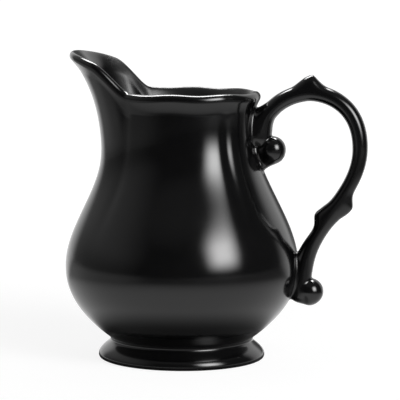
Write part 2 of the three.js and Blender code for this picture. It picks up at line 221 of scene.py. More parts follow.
# Where the glaze is duller: inside, from partway over the lip, and in the crease above the foot
LIP_DULL_FROM = 0.3
LIP_DULL_OVER = 0.5
SPOUT_DULL_FROM = math.radians(18)
SPOUT_DULL_FADE = math.radians(16)
CREASE_DULLNESS = 1.2
CREASE_MIDDLE = 3
CREASE_SPAN = 2.2

# How finely the surfaces are divided
AROUND = 360
LOWER_ROWS = 110
UPPER_ROWS = 60
LIP_ROWS = 24
INSIDE_LOWER_ROWS = 70
INSIDE_UPPER_ROWS = 40
CURVE_ROWS = 14
LEVEL_BELOW_WAIST = 4
LEVEL_TOP = WAIST_HEIGHT_SPOUT - LEVEL_BELOW_WAIST
CORNER_CROWDING = 0.09
END_CROWDING = 0.06
ROUTE_STEPS = 200
HANDLE_STEP = 0.36
HANDLE_ROOM = 9.5
SETTLE_ROUNDS = 3
SETTLE_REACH = 0.2
RELAX_ROUNDS = 3
RELAX_SHARE = 0.5
CHUNK = 4096

# Short steps over which slopes are taken, and the least values that are divided by
FINE_STEP = 0.01
FIELD_STEP = 0.02
SLOPE_STEP = 0.1
INSIDE_STEP = 0.5
LEAST_SLOPE = 0.25
LEAST_SOFTNESS = 0.001
TINY = 1e-6

# The glaze and the bare clay of the tread, with heights of relief in metres
NOISE_LOW = 0.3
NOISE_HIGH = 0.7
GLAZE_DARK = (0.0016, 0.0016, 0.0018, 1)
GLAZE_LIGHT = (0.0028, 0.0028, 0.0030, 1)
GLAZE_ROUGHNESS = (0.13, 0.16)
GLAZE_DULLER = 0.24
GLAZE_IOR = 1.5
MOTTLE_SCALE = 90
MOTTLE_DETAIL = 4
HAZE_SCALE = 160
HAZE_DETAIL = 3
PEEL_SCALE = 700
PEEL_DETAIL = 2
PEEL_STRENGTH = 0.04
PEEL_RELIEF = 0.00005
CLAY_DARK = (0.030, 0.027, 0.025, 1)
CLAY_LIGHT = (0.075, 0.066, 0.058, 1)
CLAY_ROUGHNESS = (0.75, 0.95)
GRAIN_SCALE = 1400
GRAIN_DETAIL = 6
GRAIN_ROUGHNESS = 0.65
GRAIN_STRENGTH = 0.4
GRAIN_RELIEF = 0.0001

# The camera, in millimetres from the foot of the body's axis, and its picture, in pixels
CAMERA_DISTANCE = 860
CAMERA_HEIGHT = 160
CAMERA_YAW = math.radians(10)
CAMERA_PITCH = math.radians(6.41)
CAMERA_ROLL = math.radians(-0.3)
CAMERA_NEAR = 10
SENSOR = 36
AIM_HEIGHT = 60
PICTURE_SIZE = 400
AXIS_COLUMN = 182.2
MM_PER_PIXEL = 0.4

# The table, in metres, with edges as cosines: a painted pool of light, painted shade round the foot and a
# painted paler floor on the left, all seen only in reflections
WHITE = (1, 1, 1, 1)
TABLE_REACH = 15
TABLE_GREY = (0.2, 0.2, 0.2, 1)
TABLE_ROUGHNESS = 0.9
TABLE_LIFT = 0.87
PAINTED_SHADE_NEAR = 0.036
PAINTED_SHADE_FAR = 0.060
WHITE_FROM = 0.5
PAINTED_POOL_NEAR = 0.08
PAINTED_POOL_FAR = 0.28
PAINTED_POOL_LEVEL = 1.02
SIDE_FLOOR_EDGE = 0.4
SIDE_FLOOR_FULL = 0.95
SIDE_FLOOR_NEAR = 0.3
SIDE_FLOOR_FAR = 1.5
PAINTED_SIDE_FLOOR_LEVEL = 0.4
PAINTED_SIDE_FLOOR_FAR_LEVEL = 0.24

# The studio: bearings in degrees to the right of the camera, edges as cosines, heights as sines
SWEEP_BEARING = 170
SWEEP_EDGE = 0.45
SWEEP_FULL = 0.75
GAP_BEARING = 170
GAP_EDGE = 0.91
GAP_FULL = 0.98
GAP_LEVEL = 0.1
WALL_BEARING = -115
WALL_EDGE = -0.05
WALL_FULL = 0.9
WALL_LEVEL = 0.41
WALL_LOW = 0.03
WALL_HIGH = 0.52
WALL_LOW_SHARE = 0.5
CEILING_FROM = 0.55
CEILING_FULL = 0.85
CEILING_DIM = 0.06
CEILING_LEVEL = 0.16

# The lamps, in metres; the core is the share of the lamp that is fully bright
SOFTBOX_BEARING = 41.7
SOFTBOX_DISTANCE = 0.95
SOFTBOX_HEIGHT = 0.49
SOFTBOX_SIZE = (0.82, 0.96)
SOFTBOX_RADIANCE = 10.8
SOFTBOX_CORE = 0.12
BACK_LIGHT_BEARING = 187
BACK_LIGHT_DISTANCE = 0.45
BACK_LIGHT_HEIGHT = 1.2
BACK_LIGHT_SIZE = (1.3, 0.6)
BACK_LIGHT_RADIANCE = 20
BACK_LIGHT_CORE = 0.6


def smooth(t):
    t = np.clip(t, 0, 1)
    return t * t * (3 - 2 * t)


def blend(a, b, t):
    return a + (b - a) * t


def bump(away, before, after):
    return np.exp(-(away / np.where(away < 0, before, after)) ** 2)


def unit(vectors):
    return vectors / np.linalg.norm(vectors, axis=-1, keepdims=True)


def bezier(points, steps):
    """Points along a cubic Bezier curve, both ends included."""
    a, b, c, d = (np.asarray(p, float) for p in points)
    u = np.linspace(0, 1, steps + 1).reshape(-1, *[1] * a.ndim)
    return a * (1 - u) ** 3 + 3 * b * u * (1 - u) ** 2 + 3 * c * u * u * (1 - u) + d * u ** 3


# The body's surface: the radius at an angle and a height

def lobed_radius(angle, reach_x, reach_y):
    """A rounded square in plan, with its own reach along X and along Y."""
    along = np.abs(np.cos(angle) / reach_x) ** LOBE_SQUARENESS
    across = np.abs(np.sin(angle) / reach_y) ** LOBE_SQUARENESS
    return (along + across) ** (-1 / LOBE_SQUARENESS)


def flute(angle):
    """The depth of the four flutes between the lobes, nought on the lobes."""
    from_lobe = np.arcsin(np.abs(np.sin(angle)))
    middle = np.where(np.cos(angle) < 0, FLUTE_ANGLE_SPOUT, FLUTE_ANGLE_HANDLE)
    return FLUTE_DEPTH * np.exp(-((from_lobe - middle) / FLUTE_WIDTH) ** 2)


def off_spout(angle):
    return np.abs(np.mod(angle, math.tau) - math.pi)


def spout_share(angle, power):
    """One on the spout's centre line, nought from its corners onwards."""
    off = off_spout(angle)
    share = 1 - np.minimum(off / SPOUT_HALF_ANGLE, 1) ** power
    return share * smooth((SPOUT_HALF_ANGLE - off) / SPOUT_CORNER)


def waist_radius(angle, groove):
    reach = np.where(np.cos(angle) < 0, WAIST_SPOUT, WAIST_HANDLE)
    return lobed_radius(angle, reach, WAIST_SIDE) - groove * flute(angle)


def waist_level(angle):
    return blend(WAIST_HEIGHT, WAIST_HEIGHT_SPOUT, smooth((1 - np.cos(angle)) / 2))


def rim_top(angle):
    rise = (SPOUT_HEIGHT - RIM_HEIGHT) * spout_share(angle, SPOUT_RISE_POWER)
    return RIM_HEIGHT - RIM_DIP * (1 - np.cos(RIM_WAVES * angle)) / 2 + rise


def lip_half_width(angle):
    return blend(LIP_HALF_WIDTH, SPOUT_LIP_HALF_WIDTH, spout_share(angle, SPOUT_LIP_POWER))


def lip_half_height(angle):
    return blend(LIP_HALF_HEIGHT, SPOUT_LIP_HALF_HEIGHT, spout_share(angle, SPOUT_LIP_POWER))


def wall_top(angle):
    return rim_top(angle) - lip_half_height(angle)


def rim_radius(angle, groove):
    reach = (SPOUT_REACH - RIM_REACH) * spout_share(angle, SPOUT_PLAN_POWER)
    return lobed_radius(angle, RIM_REACH, RIM_SIDE) - groove * flute(angle) + reach


def shoulder_share(climb):
    """A cosine ramp from belly to waist, averaged so that it runs into the neck without a break."""
    soft = np.maximum(WAIST_SOFTNESS * smooth(2 * climb), LEAST_SOFTNESS)

    def area(t):
        return np.where(t < 1, t / 2 - np.sin(math.pi * t) / math.tau, t - 0.5)

    return (area(climb + soft) - area(climb - soft)) / (2 * soft)


def body_radius(angle, height, groove=1):
    """The radius of the outside, with its flutes, or of the same form with shallower ones."""
    fall = np.clip((BELLY_HEIGHT - height) / (BELLY_HEIGHT - FOOT_HEIGHT), 0, None)
    below = BELLY_RADIUS - (BELLY_RADIUS - SEAT_RADIUS) * fall ** BELLY_FALL
    waist = waist_level(angle)
    neck = waist_radius(angle, groove)
    climb = np.clip((height - BELLY_HEIGHT) / (waist - BELLY_HEIGHT), 0, None)
    shoulder = blend(BELLY_RADIUS, neck, shoulder_share(climb))
    top = wall_top(angle)
    rise = np.clip((height - waist + NECK_LEAD) / (top - waist + NECK_LEAD), 0, None)
    turned_out = np.clip(1 - (top - height) / RIM_FLARE_HEIGHT, 0, None)
    turn = blend(RIM_FLARE, RIM_FLARE_SPOUT, spout_share(angle, SPOUT_LIP_POWER))
    flare = (rim_radius(angle, groove) - turn - neck) * rise ** NECK_POWER
    flare += turn * turned_out ** RIM_FLARE_POWER
    filled = groove * FLUTE_FILL * flute(angle) * smooth((height - top + FLUTE_STOP) / FLUTE_FADE)
    return np.where(height <= BELLY_HEIGHT, below, shoulder + flare + filled)


def slant(angle, height, groove=1):
    """How much longer a step square to the wall is when it is taken along the radius."""
    above, below = (body_radius(angle, height + step, groove) for step in (FINE_STEP, -FINE_STEP))
    ahead, behind = (body_radius(angle + step, height, groove) for step in (FINE_STEP, -FINE_STEP))
    rise = (above - below) / (2 * FINE_STEP)
    turn = (ahead - behind) / (2 * FINE_STEP) / body_radius(angle, height, groove)
    return np.sqrt(1 + rise ** 2 + turn ** 2)


def on_body(angle, height, offset):
    """Points of the outside, or of the inside where the offset is inward."""
    groove = FLUTE_INSIDE if offset < 0 else 1
    radius = body_radius(angle, height, groove) + offset * slant(angle, height, groove)
    height = np.broadcast_to(height, radius.shape)
    return np.stack([radius * np.cos(angle), radius * np.sin(angle), height], axis=-1)


# Objects and meshes

def new_object(name, data):
    piece = bpy.data.objects.new(name, data)
    bpy.context.scene.collection.objects.link(piece)
    return piece


def glazed_object(name, points, faces, materials):
    mesh = bpy.data.meshes.new(name)
    placed = (np.asarray(points) + [AXIS_X, 0, 0]) * MM
    mesh.from_pydata(placed.tolist(), [], faces)
    for material in materials:
        mesh.materials.append(material)
    mesh.shade_smooth()
    mesh.update()
    return new_object(name, mesh)


def loft(rings):
    """One closed surface over equal rings of points, with a fan over each end."""
    rows, around = rings.shape[:2]
    index = np.arange(rows * around).reshape(rows, around)
    after = np.roll(index, -1, axis=1)
    quads = np.stack([index[:-1], after[:-1], after[1:], index[1:]], axis=-1).reshape(-1, 4)
    centres = [rings[0].mean(axis=0), rings[-1].mean(axis=0)]
    points = np.vstack([rings.reshape(-1, 3), centres])
    first, last = rows * around, rows * around + 1
    fans = [[first, int(b), int(a)] for a, b in zip(index[0], after[0])]
    fans += [[last, int(a), int(b)] for a, b in zip(index[-1], after[-1])]
    return points, quads.tolist() + fans


# The vessel

even = np.arange(AROUND) / AROUND * math.tau
angles = even + CORNER_CROWDING * np.sin(4 * even) + END_CROWDING * np.sin(2 * even)


def turned(profile):
    """Rings of a profile of radius and height, turned about the body's axis."""
    radius, height = profile[:, :1], profile[:, 1:]
    level = np.broadcast_to(height, (len(profile), AROUND))
    return np.stack([radius * np.cos(angles), radius * np.sin(angles), level], axis=-1)


def under_profile():
    """The recess under the base, the bore and the inner edge of the tread."""
    recess = [[RECESS_MIDDLE, FOOT_HEIGHT], [FOOT_BORE - RECESS_MARGIN, FOOT_HEIGHT]]
    bore = bezier([[FOOT_BORE - BORE_FILLET, FOOT_HEIGHT],
                   [FOOT_BORE, FOOT_HEIGHT],
                   [FOOT_BORE, FOOT_HEIGHT - BORE_FILLET_LEAD],
                   [FOOT_BORE + BORE_DRAFT, FOOT_HEIGHT - BORE_FILLET_DROP]], CURVE_ROWS)
    lead_out, lead_rise = TREAD_EDGE_LEAD
    inner_edge = bezier([[FOOT_BORE + TREAD_EDGE_OUT, TREAD_EDGE_RISE],
                         [FOOT_BORE + lead_out, lead_rise],
                         [FOOT_BORE + TREAD_EDGE_TRAIL, 0],
                         [FOOT_BORE + TREAD_START, 0]], CURVE_ROWS)
    return np.vstack([recess, bore, inner_edge])


def foot_profile():
    """The hollow underneath, the flat tread, the flared foot and the crease above it."""
    tread_out = FOOT_RADIUS - FOOT_TREAD_INSET
    outer_edge = bezier([[tread_out, 0],
                         [tread_out + FOOT_EDGE_ROLL, 0],
                         [FOOT_RADIUS, FOOT_EDGE_TURN],
                         [FOOT_RADIUS, FOOT_EDGE_RISE]], CURVE_ROWS)
    neck = np.array([FOOT_NECK_RADIUS, FOOT_TOP])
    fall = np.array([FOOT_NECK_SPREAD, -FOOT_NECK_DROP])
    flare = bezier([[FOOT_RADIUS, FOOT_EDGE_RISE],
                    [FOOT_RADIUS, FOOT_EDGE_RISE + FOOT_EDGE_LEAD],
                    neck + fall,
                    neck], CURVE_ROWS)
    base = np.array([body_radius(0.0, CREASE_TOP), CREASE_TOP])
    steep = (body_radius(0.0, CREASE_TOP + SLOPE_STEP) - base[0]) / SLOPE_STEP
    crease = bezier([neck,
                     neck - FOOT_NECK_CARRY * fall,
                     base - CREASE_LEAD * np.array([steep, 1]),
                     base], CURVE_ROWS)
    return np.vstack([under_profile(), outer_edge, flare[1:], crease[1:-1]])


def floor_profile(rim_radius_of_floor, fillet_level, floor_level):
    """The fillet from the inside of the wall to the flat floor."""
    lead_in, lead_down = FLOOR_FILLET_LEAD
    return bezier([[rim_radius_of_floor, fillet_level],
                   [rim_radius_of_floor - lead_in, fillet_level - lead_down],
                   [rim_radius_of_floor - FLOOR_FILLET_TRAIL, floor_level],
                   [rim_radius_of_floor - FLOOR_FILLET_REACH, floor_level]], CURVE_ROWS)


def lip_tuck(angle):
    """The turn of the lip's oval at which it runs on smoothly from the wall below it."""
    level = wall_top(angle) - lip_half_height(angle) / 2
    lean = (body_radius(angle, level) - body_radius(angle, level - SLOPE_STEP)) / SLOPE_STEP
    return np.arctan(lean * lip_half_height(angle) / lip_half_width(angle))


def lip_start(angle):
    return wall_top(angle) - lip_half_height(angle) * np.sin(lip_tuck(angle))


def lip_rows():
    """An oval roll from the outside over the top, drawn down smoothly into the inside."""
    sizes = (lip_tuck, lip_half_width, lip_half_height)
    tuck, half_width, half_height = (size(angles)[:, None] for size in sizes)
    start = on_body(angles, lip_start(angles), 0)
    along = unit(np.roll(start, -1, axis=0) - np.roll(start, 1, axis=0))
    out = unit(np.stack([along[:, 1], -along[:, 0], np.zeros(AROUND)], axis=-1))
    up = np.cross(out, along)
    centre = start - half_width * np.cos(tuck) * out + half_height * np.sin(tuck) * up
    turns = blend(-tuck, LIP_TURN, np.linspace(0, 1, LIP_ROWS + 1)[:, None, None])
    roll = centre + half_width * np.cos(turns) * out + half_height * np.sin(turns) * up
    over = unit(half_height * math.cos(LIP_TURN) * up - half_width * math.sin(LIP_TURN) * out)
    join_level = wall_top(angles) - LIP_BLEND
    join = on_body(angles, join_level, -WALL)
    down = unit(on_body(angles, join_level - INSIDE_STEP, -WALL) - join)
    fall = bezier([roll[-1], roll[-1] + LIP_LEAD_TOP * over, join - LIP_LEAD_INSIDE * down, join], LIP_ROWS)
    return np.vstack([roll, fall[1:]])


def dullness(outer, lip, inner):
    """How dull the glaze is at each point: in the crease above the foot, and inside but for the spout."""
    above_foot = outer[:, 0, 2] - FOOT_HEIGHT
    crease = CREASE_DULLNESS * bump(above_foot - CREASE_MIDDLE, CREASE_SPAN, CREASE_SPAN)
    over_lip = smooth((np.linspace(0, 1, len(lip)) - LIP_DULL_FROM) / LIP_DULL_OVER)
    within = np.concatenate([over_lip, np.ones(len(inner))])
    beside_spout = smooth((off_spout(angles) - SPOUT_DULL_FROM) / SPOUT_DULL_FADE)
    rows = np.vstack([np.outer(crease, np.ones(AROUND)), np.outer(within, beside_spout)])
    base_centre, floor_centre = 0, 1
    return np.append(rows, (base_centre, floor_centre))


def make_vessel(glaze, clay):
    lower = np.linspace(CREASE_TOP, LEVEL_TOP, LOWER_ROWS + 1)[:, None]
    upper = blend(LEVEL_TOP, lip_start(angles), np.linspace(0, 1, UPPER_ROWS + 1)[1:-1, None])
    outer = np.vstack([turned(foot_profile()), on_body(angles, lower, 0), on_body(angles, upper, 0)])
    lip = lip_rows()
    inner_top = wall_top(angles) - LIP_BLEND
    inner_upper = blend(inner_top, LEVEL_TOP, np.linspace(0, 1, INSIDE_UPPER_ROWS + 1)[1:, None])
    floor_level = FOOT_HEIGHT + FLOOR_THICKNESS
    fillet_level = floor_level + FLOOR_FILLET
    inner_lower = np.linspace(LEVEL_TOP, fillet_level, INSIDE_LOWER_ROWS + 1)[1:, None]
    inside = np.vstack([on_body(angles, inner_upper, -WALL), on_body(angles, inner_lower, -WALL)])
    floor = turned(floor_profile(inside[-1, 0, 0], fillet_level, floor_level)[1:])
    inner = np.vstack([inside, floor])
    rings = np.vstack([outer, lip, inner])
    points, faces = loft(rings)
    vessel = glazed_object("vessel", points, faces, [glaze, clay])
    heights = rings[:, 0, 2]
    bare = (heights[:-1] < BARE_BELOW) & (heights[1:] < BARE_BELOW)
    slots = np.concatenate([np.repeat(bare.astype(np.int32), AROUND), np.zeros(2 * AROUND, np.int32)])
    vessel.data.polygons.foreach_set("material_index", slots)
    dull = vessel.data.attributes.new("dullness", "FLOAT", "POINT")
    dull.data.foreach_set("value", dullness(outer, lip, inner))
    return vessel


# The handle, as one field of distances that the glaze rounds together

def from_neck(out, down):
    return np.array([WAIST_HANDLE + out, RIM_HEIGHT - down])


def from_belly(out, up):
    return np.array([BELLY_RADIUS + out, BELLY_HEIGHT + up])


def handle_route():
    """Even points of the handle's middle line, in the plane of symmetry."""
    root = from_neck(ROOT_REACH, ROOT_DROP)
    crown = from_neck(CROWN_REACH, CROWN_DROP)
    back = from_neck(BACK_REACH, BACK_DROP)
    knuckle = from_neck(KNUCKLE_REACH, KNUCKLE_DROP)
    tail = from_belly(TAIL_REACH, -TAIL_DROP)
    up = np.array([0, 1])
    rise = np.array([math.sin(ROOT_TILT), math.cos(ROOT_TILT)])
    over = np.array([math.cos(CROWN_TILT), math.sin(CROWN_TILT)])
    lean = np.array([-math.sin(KNUCKLE_LEAN), -math.cos(KNUCKLE_LEAN)])
    stretches = [
        [root, root + ROOT_RISE * rise, crown - CROWN_LEAD * over, crown],
        [crown, crown + CROWN_TRAIL * over, back + BACK_LEAD * up, back],
        [back, back - BACK_TRAIL * up, knuckle - KNUCKLE_LEAD * lean, knuckle],
        [knuckle, knuckle + KNUCKLE_TRAIL * lean, tail + TAIL_LEAD * up, tail],
    ]
    line = np.vstack([bezier(stretch, ROUTE_STEPS)[:-1] for stretch in stretches] + [tail[None]])
    length = np.concatenate([[0], np.cumsum(np.linalg.norm(np.diff(line, axis=0), axis=1))])
    even_length = np.linspace(0, length[-1], 3 * ROUTE_STEPS + 1)
    points = np.stack([np.interp(even_length, length, line[:, k]) for k in range(2)], axis=-1)
    to_knuckle = length[3 * ROUTE_STEPS]
    climbing = slice(0, 2 * ROUTE_STEPS)
    to_thumb = np.interp(WAIST_HANDLE + THUMB_REACH, line[climbing, 0], length[climbing])
    return points, even_length, to_knuckle, to_thumb


route, route_length, knuckle_at, thumb_at = handle_route()
tangent = unit(np.gradient(route, axis=0))
outward = np.stack([-tangent[:, 1], tangent[:, 0]], axis=-1)


def along_route(x, z):
    """For points in the plane: the length along the route and the offset outward."""
    shape = np.broadcast(x, z).shape
    flat = np.stack([np.broadcast_to(x, shape).ravel(), np.broadcast_to(z, shape).ravel()], axis=-1)
    nearest = np.empty(len(flat), int)
    for start in range(0, len(flat), CHUNK):
        gap = flat[start:start + CHUNK, None, :] - route[None]
        nearest[start:start + CHUNK] = (gap ** 2).sum(axis=-1).argmin(axis=1)
    away = flat - route[nearest]
    length = route_length[nearest] + (away * tangent[nearest]).sum(axis=1)
    offset = (away * outward[nearest]).sum(axis=1)
    return length.reshape(shape), offset.reshape(shape)


def thumb_rest(length):
    """How far the pointed thumb rest stands up on the crown."""
    run = length - thumb_at
    reach = np.where(run < 0, THUMB_FRONT, THUMB_BACK)
    power = np.where(run < 0, THUMB_FRONT_POWER, THUMB_BACK_POWER)
    share = 1 - (np.sqrt(run ** 2 + THUMB_TIP ** 2) - THUMB_TIP) / reach
    return THUMB_HEIGHT * ((share + np.sqrt(share ** 2 + THUMB_SOFTNESS ** 2)) / 2) ** power


def stock_half(length):
    """Half sizes of the stock: outward, inward and sideways."""
    to_end = route_length[-1] - length
    past = length - knuckle_at
    taper = np.clip((length - thumb_at) / (knuckle_at - thumb_at), 0, 1)
    half = blend(STOCK_AT_CROWN, STOCK_AT_KNUCKLE, taper) / 2
    upper_out = UPPER_ROOT_OUT * smooth(1 - length / UPPER_ROOT_OUT_LENGTH)
    upper_in = UPPER_ROOT_IN * smooth(1 - length / UPPER_ROOT_IN_LENGTH)
    lower = smooth((LOWER_ROOT_LENGTH - to_end) / (LOWER_ROOT_LENGTH - LOWER_ROOT_FULL))
    spur_out = SPUR_OUT * bump(past - SPUR_OUT_AT, SPUR_OUT_BEFORE, SPUR_OUT_AFTER)
    spur_in = SPUR_IN * bump(past - SPUR_IN_AT, SPUR_IN_BEFORE, SPUR_IN_AFTER)
    out = half + upper_out + LOWER_ROOT_OUT * lower + spur_out + thumb_rest(length)
    inward = half + upper_in + LOWER_ROOT_IN * lower + spur_in
    side = (STOCK_WIDTH / 2 + UPPER_ROOT_SIDE * smooth(1 - length / ROOT_SIDE_LENGTH)
            + LOWER_ROOT_SIDE * smooth(1 - to_end / ROOT_SIDE_LENGTH))
    return out, inward, side


def melt(a, b, reach):
    """The nearer of two distances, rounded where both are near."""
    near = np.maximum(reach - np.abs(a - b), 0) / reach
    return np.minimum(a, b) - near * near * reach / 4


def ball(x, y, z, centre):
    return np.sqrt((x - centre[0]) ** 2 + y ** 2 + (z - centre[1]) ** 2) - KNOB_RADIUS


def rod(x, y, z, start, end, radius):
    """The distance to a round-ended rod in the plane of symmetry."""
    run = end - start
    share = np.clip(((x - start[0]) * run[0] + (z - start[1]) * run[1]) / (run @ run), 0, 1)
    off_x = x - start[0] - share * run[0]
    off_z = z - start[1] - share * run[1]
    return np.sqrt(off_x ** 2 + y ** 2 + off_z ** 2) - radius


def rod_from(x, y, z, centre, ends, radius):
    start, end = (centre + np.array(place) for place in ends)
    return rod(x, y, z, start, end, radius)


def scroll_end(x, y, z, centre, curl):
    """A knob with the curl that ties it to the body."""
    return melt(ball(x, y, z, centre), rod_from(x, y, z, centre, curl, CURL_RADIUS), GLAZE_AT_CURL)


def handle_field(x, y, z):
    """The distance to the handle's stock and its two scroll ends."""
    length, offset = along_route(x, z)
    cap = np.where(length < 0, ROOT_CAP, TAIL_CAP)
    on_route = np.clip(length, 0, route_length[-1])
    past = np.abs(length - on_route)
    out, inward, side = stock_half(on_route)
    deep = np.where(offset > 0, out, inward)
    share = np.sqrt((offset / deep) ** 2 + (y / side) ** 2 + (past / cap) ** 2)
    steep = np.sqrt((offset / deep ** 2) ** 2 + (y / side ** 2) ** 2 + (past / cap ** 2) ** 2)
    stock = share * (share - 1) / np.maximum(steep, TINY)
    upper_knob = from_neck(KNOB_OFF_NECK, KNOB_BELOW_RIM)
    lower_knob = from_belly(KNOB_OFF_BELLY, -KNOB_BELOW_BELLY)
    fill = rod_from(x, y, z, upper_knob, UPPER_FILL, FILL_RADIUS)
    upper = melt(scroll_end(x, y, z, upper_knob, UPPER_CURL), fill, GLAZE_AT_FILL)
    lower = scroll_end(x, y, z, lower_knob, LOWER_CURL)
    return melt(melt(stock, upper, GLAZE_AT_KNOB), lower, GLAZE_AT_KNOB)


def body_field(x, y, z):
    angle = np.arctan2(y, x)
    height = np.minimum(z, wall_top(angle))
    return (np.hypot(x, y) - body_radius(angle, height)) / slant(angle, height)


def glazed_field(x, y, z):
    """The handle and its glaze where they stand out of the body, buried a little in its wall."""
    handle = handle_field(x, y, z)
    field = handle.copy()
    near = handle < GLAZE_AT_BODY
    body = body_field(*(np.broadcast_to(c, handle.shape)[near] for c in (x, y, z)))
    joined = melt(handle[near], body + GLAZE_SINK, GLAZE_AT_BODY)
    field[near] = np.maximum(np.maximum(joined, -(body + ROOT_BURIAL)), handle[near] - GLAZE_AT_BODY)
    return field


def skin(field, low, step):
    """A closed surface of quads where a field of distances on a grid changes sign."""
    inside = field < 0
    cells = tuple(n - 1 for n in field.shape)
    total = np.zeros(cells + (3,))
    count = np.zeros(cells)
    for axis in range(3):
        others = [k for k in range(3) if k != axis]
        for shift in ((0, 0), (0, 1), (1, 0), (1, 1)):
            start = [slice(0, -1)] * 3
            for other, s in zip(others, shift):
                start[other] = slice(s, s + cells[other])
            end = list(start)
            end[axis] = slice(1, None)
            a, b = field[tuple(start)], field[tuple(end)]
            cross = (a < 0) != (b < 0)
            part = np.where(cross, a / np.where(cross, a - b, 1), 0)
            count += cross
            total[..., axis] += part
            for other, s in zip(others, shift):
                total[..., other] += s * cross
    busy = count > 0
    number = np.full(cells, -1)
    number[busy] = np.arange(busy.sum())
    corner = np.argwhere(busy)
    points = low + step * (corner + total[busy] / count[busy][:, None])
    faces = []
    for axis in range(3):
        u, v = (axis + 1) % 3, (axis + 2) % 3
        first = [slice(None)] * 3
        first[axis] = slice(0, -1)
        second = [slice(None)] * 3
        second[axis] = slice(1, None)
        change = inside[tuple(first)].astype(int) - inside[tuple(second)].astype(int)
        for sign in (1, -1):
            at = np.argwhere(change == sign)
            at = at[(at[:, u] > 0) & (at[:, v] > 0) & (at[:, u] < cells[u]) & (at[:, v] < cells[v])]
            quad = []
            for du, dv in ((-1, -1), (0, -1), (0, 0), (-1, 0))[::sign]:
                cell = at.copy()
                cell[:, u] += du
                cell[:, v] += dv
                quad.append(number[tuple(cell.T)])
            faces.append(np.stack(quad, axis=-1))
    return points, np.vstack(faces)


def settle(points, field):
    """Moves points towards the surface where the field is nought."""
    value = field(*points.T)
    slopes = []
    for axis in np.eye(3):
        ahead, behind = (field(*(points + step * axis).T) for step in (FIELD_STEP, -FIELD_STEP))
        slopes.append((ahead - behind) / (2 * FIELD_STEP))
    slope = np.stack(slopes, axis=-1)
    size = np.maximum((slope ** 2).sum(axis=1), LEAST_SLOPE)
    return points - np.clip(value / size, -SETTLE_REACH, SETTLE_REACH)[:, None] * slope


def relax(points, faces):
    """Moves each point part of the way to the middle of its neighbours."""
    total = np.zeros_like(points)
    count = np.zeros(len(points))
    for corner in range(4):
        for beside in (corner - 1, (corner + 1) % 4):
            np.add.at(total, faces[:, corner], points[faces[:, beside]])
            np.add.at(count, faces[:, corner], 1)
    return blend(points, total / count[:, None], RELAX_SHARE)


def make_handle(glaze):
    low = np.array([route[:, 0].min() - HANDLE_ROOM, -HANDLE_ROOM, route[:, 1].min() - HANDLE_ROOM])
    high = np.array([route[:, 0].max() + HANDLE_ROOM, HANDLE_ROOM, route[:, 1].max() + HANDLE_ROOM])
    counts = np.ceil((high - low) / HANDLE_STEP).astype(int)
    x, y, z = (low[k] + HANDLE_STEP * np.arange(counts[k] + 1) for k in range(3))
    y -= y.mean()
    low[1] = y[0]
    field = glazed_field(x[:, None, None], y[None, :, None], z[None, None, :])
    points, faces = skin(field, low, HANDLE_STEP)
    for _ in range(SETTLE_ROUNDS):
        points = settle(points, glazed_field)
    for _ in range(RELAX_ROUNDS):
        points = settle(relax(points, faces), glazed_field)
    return glazed_object("handle", points, faces.tolist(), [glaze])


# Nodes

class Graph:
    """The nodes of a material, a lamp or the world, with short ways to add and join them."""

    def __init__(self, owner):
        owner.use_nodes = True
        self.nodes = owner.node_tree.nodes
        self.links = owner.node_tree.links

    def join(self, value, socket):
        """Links an output to a socket, or sets a plain value on it."""
        if isinstance(value, bpy.types.NodeSocket):
            self.links.new(value, socket)
        else:
            socket.default_value = value

    def math(self, operation, *values):
        node = self.nodes.new("ShaderNodeMath")
        node.operation = operation
        for value, socket in zip(values, node.inputs):
            self.join(value, socket)
        return node.outputs["Value"]

    def most(self, value, *others):
        for other in others:
            value = self.math("MAXIMUM", value, other)
        return value

    def vector_math(self, operation, output, *values):
        node = self.nodes.new("ShaderNodeVectorMath")
        node.operation = operation
        for value, socket in zip(values, node.inputs):
            self.join(value, socket)
        return node.outputs[output]

    def along(self, vector, direction):
        """How far a vector points along a direction."""
        return self.vector_math("DOT_PRODUCT", "Value", vector, direction)

    def spread(self, value, start, end, low, high, kind="SMOOTHSTEP"):
        """A value mapped from one range to another."""
        node = self.nodes.new("ShaderNodeMapRange")
        node.interpolation_type = kind
        for name, number in (("From Min", start), ("From Max", end), ("To Min", low), ("To Max", high)):
            node.inputs[name].default_value = number
        self.links.new(value, node.inputs["Value"])
        return node.outputs["Result"]

    def split(self, vector):
        node = self.nodes.new("ShaderNodeSeparateXYZ")
        self.links.new(vector, node.inputs["Vector"])
        return node.outputs

    def noise(self, scale, detail, rough=0.5):
        coordinates = self.nodes.new("ShaderNodeTexCoord")
        texture = self.nodes.new("ShaderNodeTexNoise")
        texture.inputs["Scale"].default_value = scale
        texture.inputs["Detail"].default_value = detail
        texture.inputs["Roughness"].default_value = rough
        self.links.new(coordinates.outputs["Object"], texture.inputs["Vector"])
        return texture.outputs["Fac"]

    def tint(self, value, dark, light):
        ramp = self.nodes.new("ShaderNodeValToRGB")
        low, high = ramp.color_ramp.elements
        low.position = NOISE_LOW
        low.color = dark
        high.position = NOISE_HIGH
        high.color = light
        self.links.new(value, ramp.inputs["Fac"])
        return ramp.outputs["Color"]

    def relief(self, value, strength, distance):
        node = self.nodes.new("ShaderNodeBump")
        node.inputs["Strength"].default_value = strength
        node.inputs["Distance"].default_value = distance
        self.links.new(value, node.inputs["Height"])
        return node.outputs["Normal"]


# Materials

def new_material(name):
    material = bpy.data.materials.new(name)
    graph = Graph(material)
    return material, graph, graph.nodes["Principled BSDF"].inputs


